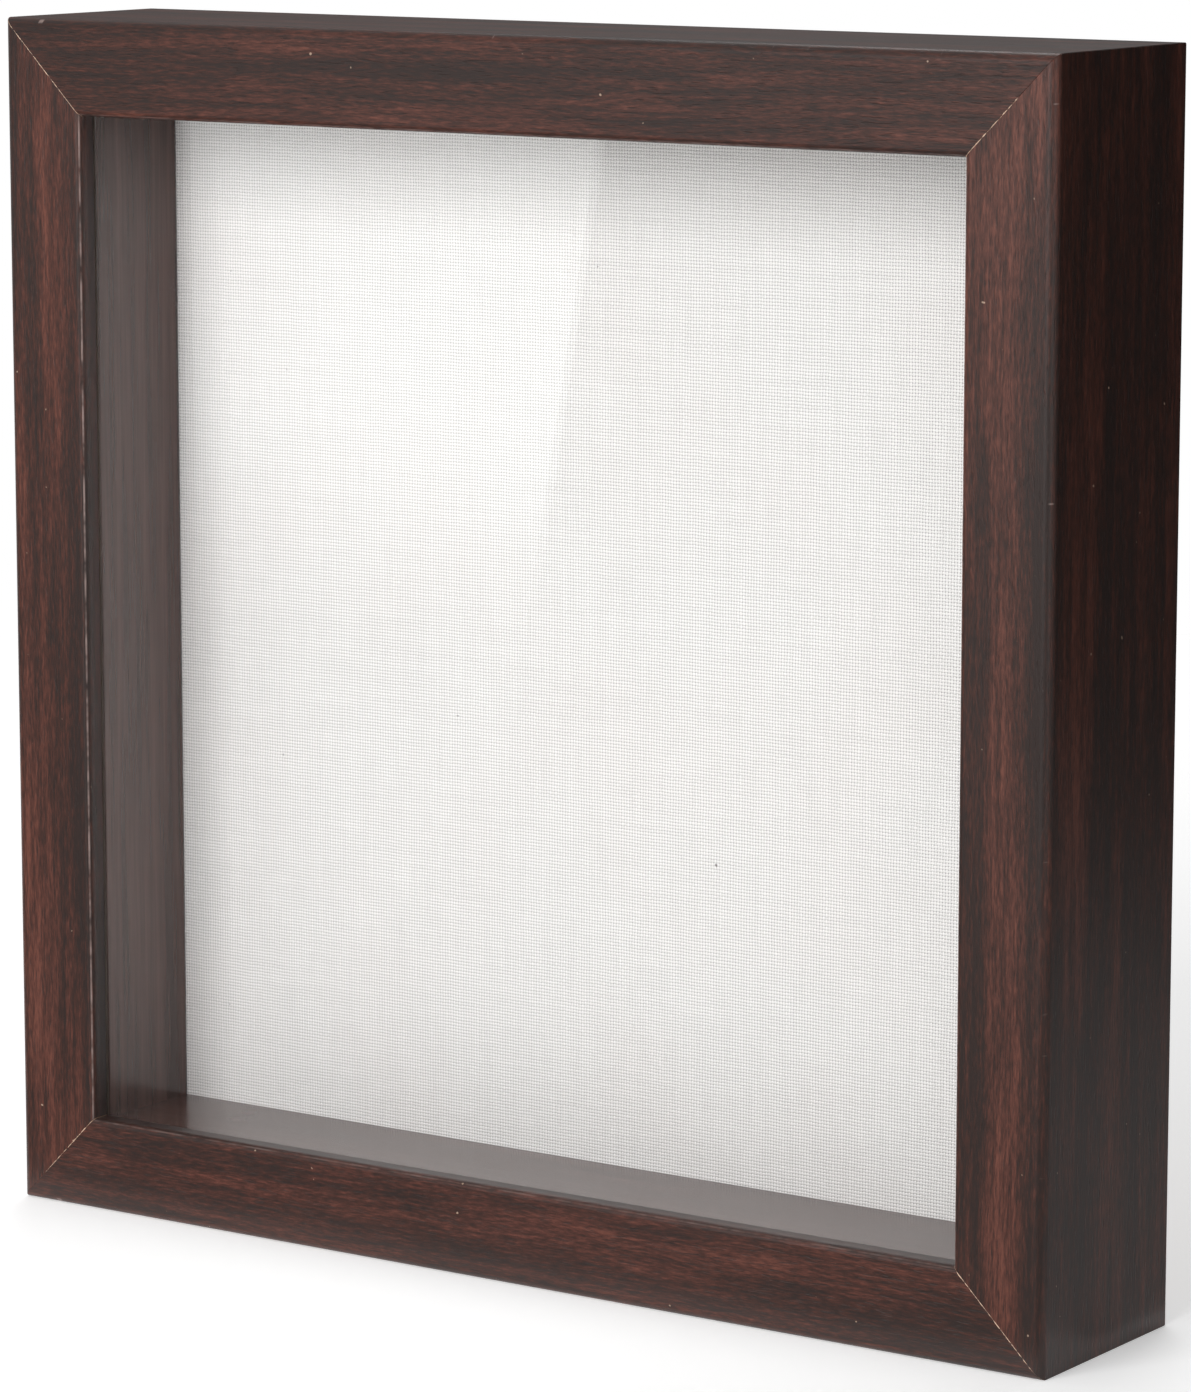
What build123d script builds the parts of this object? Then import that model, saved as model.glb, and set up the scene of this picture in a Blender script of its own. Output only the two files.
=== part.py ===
"""Rear-loading shadow box: a mitred deep frame, glass, a spacer liner and a linen-covered pin board.

Millimetres. X is the width, Y the depth (the front looks along -Y) and Z is up. The origin is on the
surface that the box stands on, at mid width, halfway between the frame's front and rear faces.
Left and right are a viewer's, in front of the box.
"""

from build123d import *

import os

os.makedirs("parts", exist_ok=True)

# ---------------------------------------------------------------- driving dimensions
# Frame moulding
outer_width = 235.0
outer_height = 235.0
frame_depth = 46.0
face_width = 18.5  # front face, from the outside to the sight edge
wall_thickness = 12.5  # side wall behind the lip
lip_thickness = 4.2  # from the front face to the glass
outer_edge_radius = 2.0
sight_edge_radius = 1.2
rear_edge_radius = 0.6

# Corner wedges, driven from the rear across each mitre
wedge_leg = 6.0
wedge_height = 10.0
wedge_thickness = 0.6
wedge_inset = 4.5  # from both outside faces to the wedge's bend

# Glass and spacer liner
glass_thickness = 2.0
glass_gap = 0.5  # all round, in the rebate
glass_edge_chamfer = 0.25
sight_setback = 1.0  # spacers' inner faces behind the sight edge
spacer_edge_radius = 0.5

# Back, from the front to the rear: linen, pin board, linen hem, back panel
board_thickness = 10.5
linen_thickness = 0.5
hem_width = 24.0
panel_thickness = 3.0
panel_edge_chamfer = 0.4
back_gap = 0.5  # all round, in the rebate
back_recess = 0.3  # from the frame's rear face in to the panel's
seat_gap = 0.1  # between the linen and the spacers' rear ends

# Turn buttons and their screws
button_length = 28.0
button_pivot_radius = 5.4  # round end about the screw
button_tip_radius = 3.8
button_thickness = 1.0
button_edge_chamfer = 0.2
button_end_inset = 60.0  # screw, from the top or the bottom of the frame
button_gap = 0.1  # under the button and under the screw's head
running_clearance = 0.08  # radial, button on its screw
screw_radius = 1.45
screw_length = 14.0  # under the head
screw_point = 3.0
screw_head_radius = 3.1
screw_head_height = 1.9
screw_dome_radius = 1.1
recess_length = 3.4  # cross recess, tip to tip
recess_width = 0.8
recess_depth = 1.1

# Sawtooth hanger and its nails
hanger_length = 44.0
hanger_height = 8.0
hanger_thickness = 0.8
hanger_tab = 8.0  # flat end on the wood
hanger_ramp = 3.0  # from a tab out to the bridge
hanger_rise = 1.8  # under the bridge
hanger_bend_radius = 0.6
hanger_corner_radius = 1.8
tooth_pitch = 1.6
tooth_depth = 1.2
nail_radius = 0.8
nail_length = 9.0  # under the head
nail_point = 1.6
nail_head_radius = 1.7
nail_head_height = 0.6
nail_dome_radius = 0.3
nail_hole_clearance = 0.1  # radial, in the hanger
pilot_clearance = 0.02  # radial, screws and nails in the wood

# ---------------------------------------------------------------- places that follow from them
half_width = outer_width / 2
half_height = outer_height / 2
centre_z = half_height
front_y = -frame_depth / 2
rear_y = frame_depth / 2
rebate_width = outer_width - 2 * wall_thickness
rebate_height = outer_height - 2 * wall_thickness
glass_y = front_y + lip_thickness
spacer_thickness = face_width - wall_thickness - sight_setback
spacer_y = glass_y + glass_thickness
panel_y = rear_y - back_recess - panel_thickness
board_y = panel_y - linen_thickness - board_thickness
linen_y = board_y - linen_thickness
spacer_depth = linen_y - seat_gap - spacer_y
back_width = rebate_width - 2 * back_gap
back_height = rebate_height - 2 * back_gap
board_width = back_width - 2 * linen_thickness
board_height = back_height - 2 * linen_thickness
button_y = rear_y + button_gap
screw_head_y = button_y + button_thickness + button_gap
button_reach = button_length - button_pivot_radius - button_tip_radius
hanger_z = outer_height - wall_thickness / 2
hanger_rear_y = rear_y + hanger_thickness
bridge_half = hanger_length / 2 - hanger_tab - hanger_ramp
nail_x = (hanger_length - hanger_tab) / 2

# Each corner by its side (-1 left, 1 right) and its end (-1 lower, 1 upper)
corners = {
    "lower_left": (-1, -1),
    "upper_left": (-1, 1),
    "lower_right": (1, -1),
    "upper_right": (1, 1),
}
# Each side's outward direction, the distance out to its outside face, and its length
frame_sides = {
    "top": (Vector(0, 0, 1), half_height, outer_width),
    "bottom": (Vector(0, 0, -1), half_height, outer_width),
    "left": (Vector(-1, 0, 0), half_width, outer_height),
    "right": (Vector(1, 0, 0), half_width, outer_height),
}
middle = Vector(0, 0, centre_z)

print(f"display depth from glass to linen: {spacer_depth + seat_gap:.1f} mm")
print(f"sight size: {outer_width - 2 * face_width:.1f} x {outer_height - 2 * face_width:.1f} mm")


def seen_from_rear(y, x=0.0, z=centre_z):
    """Plane across the box at depth y, facing the rear, with its y axis up."""
    return Plane(origin=(x, y, z), x_dir=(-1, 0, 0), z_dir=(0, 1, 0))


def corner_plane(side, end):
    """Plane of the rear face at an outside corner, facing into the wood, with both axes inward."""
    inward = (-side, 0, 0) if side == end else (0, 0, -end)
    corner = (side * half_width, rear_y, centre_z + end * half_height)
    return Plane(origin=corner, x_dir=inward, z_dir=(0, -1, 0))


def axis_plane(x, y, z):
    """Plane through a fastener's axis, with its y axis along the fastener towards the rear."""
    return Plane(origin=(x, y, z), x_dir=(1, 0, 0), z_dir=(0, 0, 1))


def screw_place(side, end):
    """X and Z of the screw that a turn button turns on, in the middle of a stile's wall."""
    x = side * (half_width - wall_thickness / 2)
    z = centre_z + end * (half_height - button_end_inset)
    return x, z


def wedge_section():
    """L-shaped section of a corner wedge, bent on the mitre, for a corner plane."""
    bend = wedge_inset - wedge_thickness / 2
    with BuildSketch() as section:
        with Locations((bend, bend)):
            Rectangle(wedge_leg, wedge_thickness, align=(Align.MIN, Align.MIN))
            Rectangle(wedge_thickness, wedge_leg, align=(Align.MIN, Align.MIN))
    return section.sketch


def shank_section(radius, length, point):
    """Half section of a pointed shank, under its head, for revolving about the y axis."""
    with BuildSketch() as section:
        with BuildLine():
            Polyline((0, 0), (radius, 0), (radius, point - length), (0, -length), close=True)
        make_face()
    return section.sketch


def head_section(radius, height, dome_radius):
    """Half section of a round head, for revolving about the y axis."""
    with BuildSketch() as section:
        Rectangle(radius, height, align=(Align.MIN, Align.MIN))
        fillet(section.vertices().group_by(Axis.X)[-1].sort_by(Axis.Y)[-1], dome_radius)
    return section.sketch


def shanks(places, head_y, radius, length, point):
    """Pointed shanks of screws or nails along Y, at (x, z) places, with their heads' undersides at head_y."""
    section = shank_section(radius, length, point)
    with BuildPart() as shank:
        for x, z in places:
            with BuildSketch(axis_plane(x, head_y, z)):
                add(section)
            revolve(axis=Axis((x, 0, z), (0, 1, 0)))
    return shank.part


def finish(piece, name):
    """Label a finished piece and write it."""
    piece.part.label = name
    export_step(piece.part, f"parts/{name}.step")


# ---------------------------------------------------------------- frame moulding
def moulding_section(reach):
    """Section of the moulding: x is the depth and y the distance out from the box's middle."""
    sight = reach - face_width
    wall = reach - wall_thickness
    with BuildSketch() as section:
        with BuildLine():
            Polyline(
                (front_y, sight),
                (front_y, reach),
                (rear_y, reach),
                (rear_y, wall),
                (glass_y, wall),
                (glass_y, sight),
                close=True,
            )
        make_face()
        front_corners = section.vertices().group_by(Axis.X)[0].sort_by(Axis.Y)
        fillet(front_corners[0], sight_edge_radius)
        fillet(front_corners[-1], outer_edge_radius)
        fillet(section.vertices().group_by(Axis.X)[-1], rear_edge_radius)
    return section.sketch


screw_places = {name: screw_place(side, end) for name, (side, end) in corners.items()}
nail_places = [(-nail_x, hanger_z), (nail_x, hanger_z)]

screw_holes = shanks(
    screw_places.values(), screw_head_y, screw_radius + pilot_clearance, screw_length, screw_point
)
nail_holes = shanks(
    nail_places, hanger_rear_y, nail_radius + pilot_clearance, nail_length, nail_point
)

for side_name, (outward, reach, length) in frame_sides.items():
    along = Vector(0, 1, 0).cross(outward)
    with BuildPart() as moulding:
        with BuildSketch(Plane(origin=middle, x_dir=(0, 1, 0), z_dir=along)):
            add(moulding_section(reach))
        extrude(amount=length / 2, both=True)
        for end in (-1, 1):
            corner = middle + outward * reach + along * (end * length / 2)
            split(bisect_by=Plane(origin=corner, z_dir=along * end - outward), keep=Keep.BOTTOM)
        for side, end in corners.values():
            if outward.dot(Vector(side, 0, end)) > 0:
                with BuildSketch(corner_plane(side, end)):
                    add(wedge_section())
                extrude(amount=wedge_height, mode=Mode.SUBTRACT)
        add(screw_holes, mode=Mode.SUBTRACT)
        add(nail_holes, mode=Mode.SUBTRACT)
    kind = "stile" if outward.X else "rail"
    finish(moulding, f"{side_name}_{kind}")


with BuildPart() as corner_wedges:
    for side, end in corners.values():
        with BuildSketch(corner_plane(side, end)):
            add(wedge_section())
        extrude(amount=wedge_height)
finish(corner_wedges, "corner_wedges")


# ---------------------------------------------------------------- glass and spacer liner
with BuildPart() as glass_pane:
    with BuildSketch(seen_from_rear(glass_y)):
        Rectangle(rebate_width - 2 * glass_gap, rebate_height - 2 * glass_gap)
    extrude(amount=glass_thickness)
    chamfer(edges().filter_by(Axis.Y, reverse=True), glass_edge_chamfer)
finish(glass_pane, "glass_pane")

# The top and bottom spacers run right across the rebate, and the other two stand between them.
for side_name, (outward, reach, _) in frame_sides.items():
    spacer_middle = middle + outward * (reach - wall_thickness - spacer_thickness / 2)
    if outward.Z:
        spacer_size = (rebate_width, spacer_thickness)
    else:
        spacer_size = (spacer_thickness, rebate_height - 2 * spacer_thickness)
    with BuildPart() as spacer:
        with BuildSketch(seen_from_rear(spacer_y, spacer_middle.X, spacer_middle.Z)):
            Rectangle(*spacer_size)
        extrude(amount=spacer_depth)
        inner_face = faces().sort_by(Axis(middle, outward))[0]
        fillet(inner_face.edges().filter_by(Axis.Y, reverse=True), spacer_edge_radius)
    finish(spacer, f"spacer_{side_name}")


# ---------------------------------------------------------------- covered back
with BuildPart() as pin_board:
    with BuildSketch(seen_from_rear(board_y)):
        Rectangle(board_width, board_height)
    extrude(amount=board_thickness)
finish(pin_board, "pin_board")

with BuildPart() as linen_cloth:
    with BuildSketch(seen_from_rear(linen_y)):
        Rectangle(back_width, back_height)
    extrude(amount=panel_y - linen_y)
    with BuildSketch(seen_from_rear(board_y)):
        Rectangle(board_width, board_height)
    extrude(amount=board_thickness, mode=Mode.SUBTRACT)
    with BuildSketch(seen_from_rear(panel_y)):
        Rectangle(board_width - 2 * hem_width, board_height - 2 * hem_width)
    extrude(amount=-linen_thickness, mode=Mode.SUBTRACT)
finish(linen_cloth, "linen_cloth")

with BuildPart() as back_panel:
    with BuildSketch(seen_from_rear(panel_y)):
        Rectangle(back_width, back_height)
    extrude(amount=panel_thickness)
    chamfer(faces().sort_by(Axis.Y)[-1].edges(), panel_edge_chamfer)
finish(back_panel, "back_panel")


# ---------------------------------------------------------------- turn buttons
for name, (x, z) in screw_places.items():
    with BuildPart() as turn_button:
        with BuildSketch(seen_from_rear(button_y, x, z)):
            Circle(button_pivot_radius)
            with Locations((0, -button_reach)):
                Circle(button_tip_radius)
            make_hull()
            Circle(screw_radius + running_clearance, mode=Mode.SUBTRACT)
        extrude(amount=button_thickness)
        chamfer(faces().sort_by(Axis.Y)[-1].outer_wire().edges(), button_edge_chamfer)
    finish(turn_button, f"turn_button_{name}")

screw_section = shank_section(screw_radius, screw_length, screw_point)
screw_head_section = head_section(screw_head_radius, screw_head_height, screw_dome_radius)
with BuildPart() as turn_button_screws:
    for x, z in screw_places.values():
        with BuildSketch(axis_plane(x, screw_head_y, z)):
            add([screw_section, screw_head_section])
        revolve(axis=Axis((x, 0, z), (0, 1, 0)))
        with BuildSketch(seen_from_rear(screw_head_y + screw_head_height, x, z)):
            Rectangle(recess_length, recess_width)
            Rectangle(recess_width, recess_length)
        extrude(amount=-recess_depth, mode=Mode.SUBTRACT)
finish(turn_button_screws, "turn_button_screws")


# ---------------------------------------------------------------- hanger
with BuildPart() as sawtooth_hanger:
    with BuildSketch(Plane.XY.offset(hanger_z - hanger_height / 2)):
        with BuildLine():
            FilletPolyline(
                (-hanger_length / 2, rear_y),
                (-bridge_half - hanger_ramp, rear_y),
                (-bridge_half, rear_y + hanger_rise),
                (bridge_half, rear_y + hanger_rise),
                (bridge_half + hanger_ramp, rear_y),
                (hanger_length / 2, rear_y),
                radius=hanger_bend_radius,
            )
            offset(amount=hanger_thickness, side=Side.LEFT)
        make_face()
    extrude(amount=hanger_height)
    tooth_count = int(2 * bridge_half / tooth_pitch) - 1
    with BuildSketch(seen_from_rear(rear_y, z=hanger_z - hanger_height / 2)):
        with GridLocations(tooth_pitch, tooth_pitch, tooth_count, 1):
            Polygon(
                (-tooth_pitch / 2, 0),
                (tooth_pitch / 2, 0),
                (0, tooth_depth),
                align=(Align.CENTER, Align.MIN),
            )
    extrude(amount=hanger_rise + 2 * hanger_thickness, mode=Mode.SUBTRACT)
    with BuildSketch(seen_from_rear(rear_y, z=hanger_z)):
        with Locations((-nail_x, 0), (nail_x, 0)):
            Circle(nail_radius + nail_hole_clearance)
    extrude(amount=hanger_thickness, mode=Mode.SUBTRACT)
    tab_ends = faces().sort_by(Axis.X)[0].edges() + faces().sort_by(Axis.X)[-1].edges()
    fillet(tab_ends.filter_by(Axis.Y), hanger_corner_radius)
finish(sawtooth_hanger, "sawtooth_hanger")

nail_section = shank_section(nail_radius, nail_length, nail_point)
nail_head_section = head_section(nail_head_radius, nail_head_height, nail_dome_radius)
with BuildPart() as hanger_nails:
    for x, z in nail_places:
        with BuildSketch(axis_plane(x, hanger_rear_y, z)):
            add([nail_section, nail_head_section])
        revolve(axis=Axis((x, 0, z), (0, 1, 0)))
finish(hanger_nails, "hanger_nails")
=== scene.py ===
"""The looks of a shadow box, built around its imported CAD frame.

Metres. X is the width, Y the depth (the front looks along -Y) and Z is up. Left and right are a
viewer's, in front of the box.
"""

import logging
import math
import random
from collections.abc import Callable, Sequence
from dataclasses import dataclass, field
from enum import Enum

import bmesh
import bpy
from mathutils import Matrix, Vector


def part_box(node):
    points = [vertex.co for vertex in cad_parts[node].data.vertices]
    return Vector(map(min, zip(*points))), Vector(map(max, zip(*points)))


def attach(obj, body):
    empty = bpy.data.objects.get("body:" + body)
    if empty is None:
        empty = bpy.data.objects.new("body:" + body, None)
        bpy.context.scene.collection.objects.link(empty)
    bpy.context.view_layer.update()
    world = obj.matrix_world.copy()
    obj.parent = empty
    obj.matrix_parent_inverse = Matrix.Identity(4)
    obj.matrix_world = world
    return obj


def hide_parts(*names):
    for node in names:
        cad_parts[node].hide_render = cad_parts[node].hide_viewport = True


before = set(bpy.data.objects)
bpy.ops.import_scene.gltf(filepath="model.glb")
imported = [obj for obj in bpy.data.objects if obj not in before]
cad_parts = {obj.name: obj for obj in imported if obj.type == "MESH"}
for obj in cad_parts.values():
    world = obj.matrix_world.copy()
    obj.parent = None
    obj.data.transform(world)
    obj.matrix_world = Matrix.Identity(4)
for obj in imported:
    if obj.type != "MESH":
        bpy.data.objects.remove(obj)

log = logging.getLogger("shadow_box")
MM = 0.001
Colour = tuple[float, float, float]


class Grain(Enum):
    """The axis that a moulding's or a strip's printed grain runs along."""

    ALONG_X = "x"
    ALONG_Z = "z"


class Side(Enum):
    """A side of the frame, by the turn about Y that brings the top there."""

    TOP = 0.0
    RIGHT = 90.0
    BOTTOM = 180.0
    LEFT = 270.0

    @property
    def upright(self) -> bool:
        """Whether this side stands upright."""
        return self in (Side.LEFT, Side.RIGHT)


# ------------------------------------------------------------------------------ shader tools
class Number:
    """A number from a shader socket that takes part in Python arithmetic."""

    def __init__(self, shader: "Shader", socket: bpy.types.NodeSocket) -> None:
        """Wrap a socket.

        Args:
            shader: the material under construction.
            socket: an output socket that gives a number.
        """
        self.shader = shader
        self.socket = socket

    def maths(self, operation: str, *operands: "Number | float") -> "Number":
        """Add one Math node.

        Args:
            operation: the Math node's operation.
            operands: its inputs, in order.

        Returns:
            The node's result.
        """
        node = self.shader.node("Math", {"operation": operation}, dict(enumerate(operands)))
        return Number(self.shader, node.outputs[0])

    def __add__(self, other: "Number | float") -> "Number":
        """Sum."""
        return self.maths("ADD", self, other)

    def __sub__(self, other: "Number | float") -> "Number":
        """Difference."""
        return self.maths("SUBTRACT", self, other)

    def __rsub__(self, other: float) -> "Number":
        """Difference from a plain number."""
        return self.maths("SUBTRACT", other, self)

    def __mul__(self, other: "Number | float") -> "Number":
        """Product."""
        return self.maths("MULTIPLY", self, other)

    def __truediv__(self, other: "Number | float") -> "Number":
        """Quotient."""
        return self.maths("DIVIDE", self, other)

    def __pow__(self, other: "Number | float") -> "Number":
        """Power."""
        return self.maths("POWER", self, other)

    def __abs__(self) -> "Number":
        """Absolute value."""
        return self.maths("ABSOLUTE", self)

    __radd__ = __add__
    __rmul__ = __mul__

    def floor(self) -> "Number":
        """Round down."""
        return self.maths("FLOOR", self)

    def sine(self) -> "Number":
        """Sine of radians."""
        return self.maths("SINE", self)

    def largest(self, other: "Number | float") -> "Number":
        """The larger of two."""
        return self.maths("MAXIMUM", self, other)

    def above(self, level: "Number | float") -> "Number":
        """1 where this is above a level, and 0 elsewhere."""
        return self.maths("GREATER_THAN", self, level)

    def rise(self, low: float, high: float) -> "Number":
        """A smooth step.

        Args:
            low: the value that gives 0.
            high: the value that gives 1. It may be under low, for a fall.

        Returns:
            A number from 0 to 1.
        """
        settings = {"interpolation_type": "SMOOTHSTEP", "clamp": True}
        inputs = {"Value": self, "From Min": low, "From Max": high}
        return Number(self.shader, self.shader.node("MapRange", settings, inputs).outputs[0])


class Shader:
    """A material under construction."""

    def __init__(self, name: str) -> None:
        """Start a material.

        Args:
            name: its name.
        """
        self.material = bpy.data.materials.new(name)
        self.material.use_nodes = True
        self.material.node_tree.nodes.clear()

    def node(
        self, kind: str, settings: dict[str, object] | None = None, inputs: dict | None = None
    ) -> bpy.types.Node:
        """Add a node.

        Args:
            kind: its type, without the leading ShaderNode.
            settings: its properties. A colour ramp's stops are [(place, colour), ...].
            inputs: values or links of its input sockets, by name or place.

        Returns:
            The node.
        """
        node = self.material.node_tree.nodes.new(f"ShaderNode{kind}")
        for name, value in (settings or {}).items():
            if name == "stops":
                self._set_stops(node.color_ramp, value)
            else:
                setattr(node, name, value)
        for key, value in (inputs or {}).items():
            socket = node.inputs[key]
            source = value.socket if isinstance(value, Number) else value
            if isinstance(source, bpy.types.NodeSocket):
                self.material.node_tree.links.new(source, socket)
            elif socket.type == "RGBA":
                socket.default_value = (*source[:3], 1.0)
            else:
                socket.default_value = source
        return node

    @staticmethod
    def _set_stops(ramp: bpy.types.ColorRamp, stops: Sequence[tuple[float, Colour]]) -> None:
        """Set a colour ramp's stops.

        Args:
            ramp: the ramp, with its two first stops.
            stops: the places and colours, in rising order.
        """
        while len(ramp.elements) < len(stops):
            ramp.elements.new(1.0)
        for element, (place, colour) in zip(ramp.elements, stops):
            element.position = place
            element.color = (*colour, 1.0)

    def place(self) -> tuple[Number, Number, Number]:
        """The three object coordinates, in metres."""
        return self.split(self.node("TexCoord").outputs["Object"])

    def unwrapped(self) -> tuple[Number, Number]:
        """The piece's own UV coordinates, in metres of flat cloth."""
        return self.split(self.node("UVMap", {"uv_map": "cut"}).outputs["UV"])[:2]

    def split(self, vector: bpy.types.NodeSocket) -> tuple[Number, Number, Number]:
        """A vector's three parts."""
        node = self.node("SeparateXYZ", inputs={0: vector})
        return tuple(Number(self, output) for output in node.outputs)

    def noise(
        self, parts: Sequence[Number | float], scale: float, detail: float = 2.0, rough: float = 0.5
    ) -> Number:
        """A noise texture.

        Args:
            parts: the three coordinates to look it up at.
            scale: its cells per unit.
            detail: its octaves.
            rough: how much each octave keeps.

        Returns:
            A number around 0.5.
        """
        vector = self.node("CombineXYZ", inputs=dict(enumerate(parts))).outputs[0]
        inputs = {"Vector": vector, "Scale": scale, "Detail": detail, "Roughness": rough}
        return Number(self, self.node("TexNoise", inputs=inputs).outputs[0])

    def ramp(self, number: Number, stops: Sequence[tuple[float, Colour]]) -> bpy.types.NodeSocket:
        """A colour looked up from a number.

        Args:
            number: the place on the ramp, from 0 to 1.
            stops: the places and colours.

        Returns:
            The colour.
        """
        return self.node("ValToRGB", {"stops": stops}, {0: number}).outputs[0]

    def mix(self, share: Number | float, first: object, second: object) -> bpy.types.NodeSocket:
        """Mix two colours.

        Args:
            share: how much of the second shows, from 0 to 1.
            first: a colour, or a socket that gives one.
            second: a colour, or a socket that gives one.

        Returns:
            The mixed colour.
        """
        inputs = {0: share, 6: first, 7: second}
        return self.node("Mix", {"data_type": "RGBA"}, inputs).outputs[2]

    def bump(self, height: Number, depth: float) -> bpy.types.NodeSocket:
        """Normals from a height.

        Args:
            height: the height, from 0 to 1.
            depth: the depth that a height of 1 stands for, in metres.

        Returns:
            The normal.
        """
        inputs = {"Strength": 1.0, "Distance": depth, "Height": height}
        return self.node("Bump", inputs=inputs).outputs[0]

    def finish(self, surface: bpy.types.NodeSocket) -> bpy.types.Material:
        """Close the material with its surface shader."""
        self.node("OutputMaterial", inputs={"Surface": surface})
        return self.material

    def principled(self, inputs: dict[str, object]) -> bpy.types.NodeSocket:
        """A Principled shader with these inputs."""
        return self.node("BsdfPrincipled", inputs=inputs).outputs[0]


# ------------------------------------------------------------------------------ finishes
@dataclass(frozen=True)
class MouldingWrap:
    """Dark walnut foil with printed grain, over a pale fibreboard core that shows at the mitres.

    Args:
        grain: the axis that the grain runs along.
        half_size: half of the frame's width and height.
        centre_z: the height of the frame's middle.
        face_width: the width of the front face.
        front_y: where the front face is.
        charcoal, umber, chestnut, russet: the print's colours, from the darkest. Charcoal is also
            the painted shade on the lip's inner face.
        core: the fibreboard's colour.
        highlight_and_nick_colour: the colour of the painted highlight along the sight edge, and of
            the nicks at the rim.
        roughness: how matt the foil is.
        hairline: the usual width of the pale line at a mitre.
        relief: the depth of the embossed grain.
        rail_highlight: how strong the painted highlight along the rails' sight edges is, from 0 to
            1.
        upright_highlight: the same for the uprights.
    """

    grain: Grain
    half_size: tuple[float, float]
    centre_z: float
    face_width: float
    front_y: float
    charcoal: Colour = (0.025, 0.0158, 0.0140)
    umber: Colour = (0.042, 0.0182, 0.0140)
    chestnut: Colour = (0.068, 0.0242, 0.0175)
    russet: Colour = (0.124, 0.0415, 0.028)
    core: Colour = (0.62, 0.45, 0.33)
    highlight_and_nick_colour: Colour = (0.30, 0.22, 0.20)
    roughness: float = 0.36
    hairline: float = 0.13 * MM
    relief: float = 0.09 * MM
    rail_highlight: float = 0.25
    upright_highlight: float = 0.75

    def material(self) -> bpy.types.Material:
        """Build the material.

        Returns:
            The finished material.
        """
        shader = Shader(f"moulding_wrap_{self.grain.value}")
        x, y, z = shader.place()
        along, across = (x, z) if self.grain is Grain.ALONG_X else (z, x)
        wander = shader.noise((along * 0.4, across, y), 17.0) - 0.5
        bent = across + wander * (5.0 * MM)
        bands = shader.noise((along * 0.05, bent, y), 150.0, 2.0, 0.6)
        streaks = shader.noise((along * 0.06, bent, y), 900.0, 3.0, 0.6)
        fibres = shader.noise((along * 0.15, bent, y), 2300.0, 3.0, 0.7)
        pores = shader.noise((along * 0.12, bent, y), 2100.0, 1.0).rise(0.62, 0.72)
        tone = bands * 0.62 + streaks * 0.44 + fibres * 0.66 - 0.372
        colours = (self.charcoal, self.umber, self.chestnut, self.russet)
        colour = shader.ramp(tone, list(zip((0.36, 0.47, 0.57, 0.72), colours)))
        colour = shader.mix(pores * 0.5, colour, self.charcoal)
        lip_shade, highlight_and_nicks = self._edges(shader, x, y, z)
        # Painted shade: the lip's inner face and the rebate are darkened towards charcoal
        colour = shader.mix(lip_shade * 0.15, colour, self.charcoal)
        # A painted highlight along the sight edge, together with real nicks at the outer rim
        colour = shader.mix(highlight_and_nicks, colour, self.highlight_and_nick_colour)
        cut = self._hairline(shader, x, z)
        specks = shader.noise((x, y, z), 640.0, 1.0).rise(0.80, 0.83)
        colour = shader.mix((cut * 0.9).largest(specks * 0.4), colour, self.core)
        smear = shader.noise((along * 0.3, across, y), 60.0, 3.0)
        rough = self.roughness + (smear - 0.5) * 0.10 + fibres * 0.05 + cut * 0.3
        height = fibres * 0.5 + streaks * 0.3 - pores * 0.4
        return shader.finish(
            shader.principled(
                {
                    "Base Color": colour,
                    "Roughness": rough,
                    "Specular IOR Level": 0.32,
                    "Normal": shader.bump(height, self.relief),
                }
            )
        )

    def _edges(
        self, shader: Shader, x: Number, y: Number, z: Number
    ) -> tuple[Number, Number]:
        """Where painted shade darkens the lip's inner face, where a painted highlight runs along
        the sight edge, and where the rim is nicked.

        Args:
            shader: the material under construction.
            x: the object's X.
            y: the object's Y.
            z: the object's Z.

        Returns:
            Masks of the lip's painted shade, and of the painted highlight with the nicks.
        """
        if self.grain is Grain.ALONG_X:
            out, along = abs(z - self.centre_z) - (self.half_size[1] - self.face_width), x
        else:
            out, along = abs(x) - (self.half_size[0] - self.face_width), z
        # Painted shade: the lip's inner face and the rebate behind the sight edge turn towards
        # charcoal
        lip_shade = out.rise(0.40 * MM, 0.10 * MM)
        at_rim = (out - (self.face_width - 0.6 * MM)).rise(-0.5 * MM, 0.0)
        in_front = (y - self.front_y).rise(1.3 * MM, 0.7 * MM)
        corner = at_rim * in_front
        nicks = shader.noise((along, out * 0.15, 4.0), 520.0, 1.0).rise(0.70, 0.75) * corner
        # Painted highlight: a thin pale line along the sight edge's rounding, in patches, stronger
        # on the uprights
        off_line = abs(out - 0.35 * MM) + abs(y - self.front_y - 0.35 * MM)
        patchy = shader.noise((along, 0.0, 2.0), 130.0, 3.0, 0.65).rise(0.36, 0.62)
        share = self.rail_highlight if self.grain is Grain.ALONG_X else self.upright_highlight
        highlight_and_nicks = off_line.rise(0.34 * MM, 0.14 * MM) * patchy * share
        return lip_shade, highlight_and_nicks.largest(nicks * 0.6)

    def _hairline(self, shader: Shader, x: Number, z: Number) -> Number:
        """Where the foil's cut edge shows at a mitre, fading at its own place at each corner.

        Args:
            shader: the material under construction.
            x: the object's X.
            z: the object's Z.

        Returns:
            1 on the hairline and 0 off it.
        """
        half_width, half_height = self.half_size
        up = z - self.centre_z
        beyond = abs(abs(x) - abs(up) - (half_width - half_height))
        outward = (abs(x) - (half_width - self.face_width)) / self.face_width
        right, top = x.above(0.0), up.above(0.0)
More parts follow.
